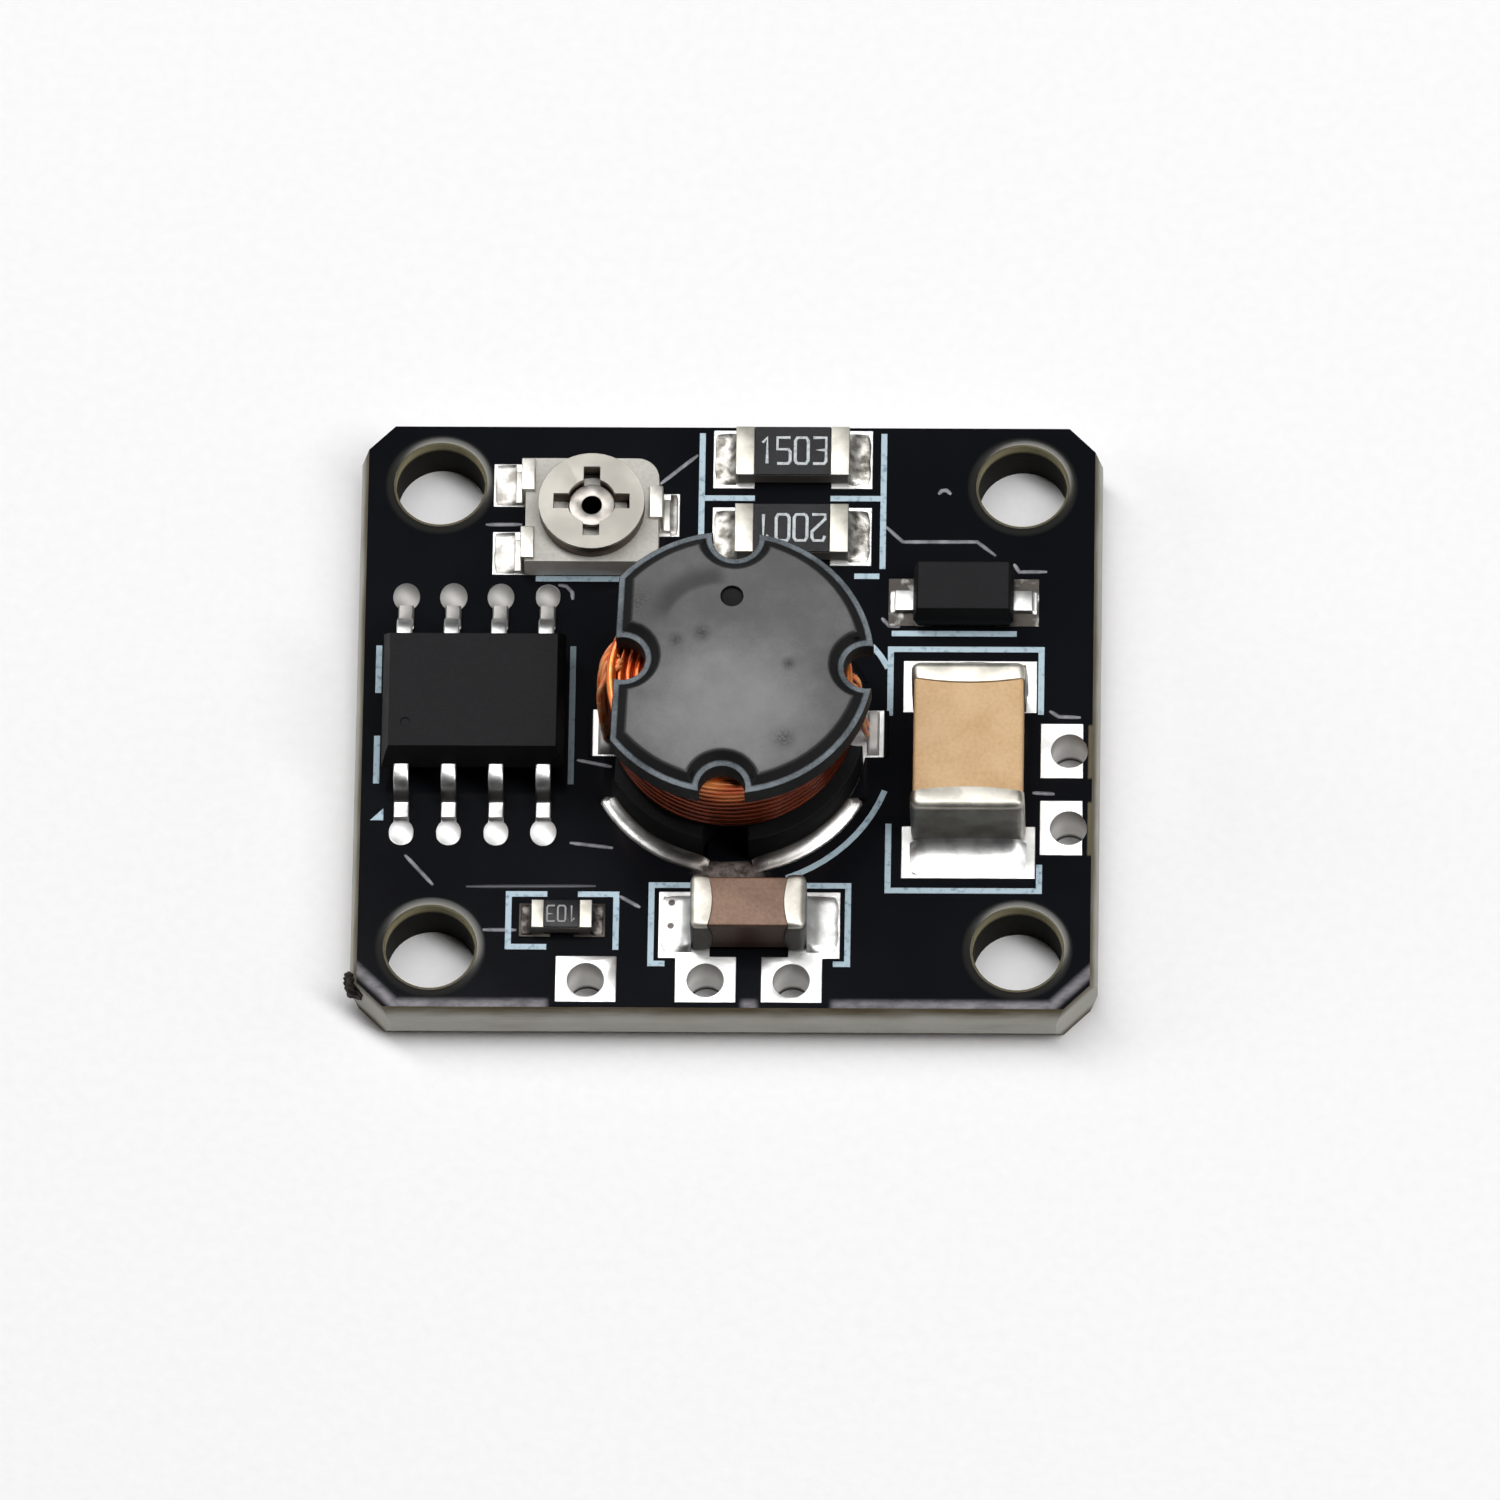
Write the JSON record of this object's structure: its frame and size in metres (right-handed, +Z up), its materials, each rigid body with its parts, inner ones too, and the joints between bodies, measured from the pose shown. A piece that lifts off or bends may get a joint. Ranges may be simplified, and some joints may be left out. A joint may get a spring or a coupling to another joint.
{
  "type": "boost converter module",
  "caption": "Small black circuit board with a wound drum inductor, control chip, trimmer, chip capacitors and resistors that steps a low DC voltage up to a high one.",
  "frame": {"origin": "centre of the board's underside", "axes": "+X to the right along the longer edges of the board, +Y towards the trimmer and the far edge, +Z up out of the side that carries the parts"},
  "size_m": [0.02, 0.0176, 0.0066],
  "materials": {
    "board_mask": "glossy near-black solder mask over glass fibre",
    "printed_ink": "matte pale printed ink",
    "solder": "bright smooth solder",
    "tinned_pad": "tinned copper, slightly dull",
    "moulded_plastic": "matte charcoal moulding",
    "tinned_lead": "bright tin plate",
    "ferrite": "matte grey sintered ferrite",
    "copper_wire": "enamelled copper, satin",
    "pale_ceramic": "matte cream ceramic",
    "resistance_film": "matte dark film",
    "trimmer_metal": "satin plated strip",
    "tan_ceramic": "smooth tan ceramic",
    "brown_ceramic": "smooth brown ceramic",
    "white_ceramic": "matte white ceramic",
    "dark_glass": "glossy dark glass coat",
    "plated_end": "satin tin plate"
  },
  "bodies": {
    "board": {"circuit_board": "board_mask", "component_pads": "tinned_pad", "silkscreen_lines": "printed_ink", "signal_wire_pad": "tinned_pad", "left_supply_pad": "tinned_pad", "right_supply_pad": "tinned_pad", "far_output_pad": "tinned_pad", "near_output_pad": "tinned_pad", "chip_body": "moulded_plastic", "chip_leads": "tinned_lead", "chip_solder": "solder", "inductor_core": "ferrite", "inductor_winding": "copper_wire", "inductor_wire_ends": "copper_wire", "inductor_solder": "solder", "trimmer_base": "pale_ceramic", "trimmer_track": "resistance_film", "trimmer_terminals": "trimmer_metal", "trimmer_eyelet": "trimmer_metal", "trimmer_solder": "solder", "output_capacitor_body": "tan_ceramic", "output_capacitor_terminals": "plated_end", "output_capacitor_solder": "solder", "input_capacitor_body": "brown_ceramic", "input_capacitor_terminals": "plated_end", "input_capacitor_solder": "solder", "upper_resistor_body": "white_ceramic", "upper_resistor_coat": "dark_glass", "upper_resistor_terminals": "plated_end", "upper_resistor_solder": "solder", "lower_resistor_body": "white_ceramic", "lower_resistor_coat": "dark_glass", "lower_resistor_terminals": "plated_end", "lower_resistor_solder": "solder", "small_resistor_body": "white_ceramic", "small_resistor_coat": "dark_glass", "small_resistor_terminals": "plated_end", "small_resistor_solder": "solder", "diode_body": "moulded_plastic", "diode_leads": "tinned_lead", "diode_solder": "solder"},
    "rotor": {"trimmer_rotor": "trimmer_metal"}
  },
  "joints": [
    {"name": "trimmer_turn", "type": "hinge", "parent": "board", "child": "rotor", "pos_m": [-0.00372, 0.00573, 0.00271], "axis": [0, 0, 1], "range_deg": [-115, 115]}
  ]
}
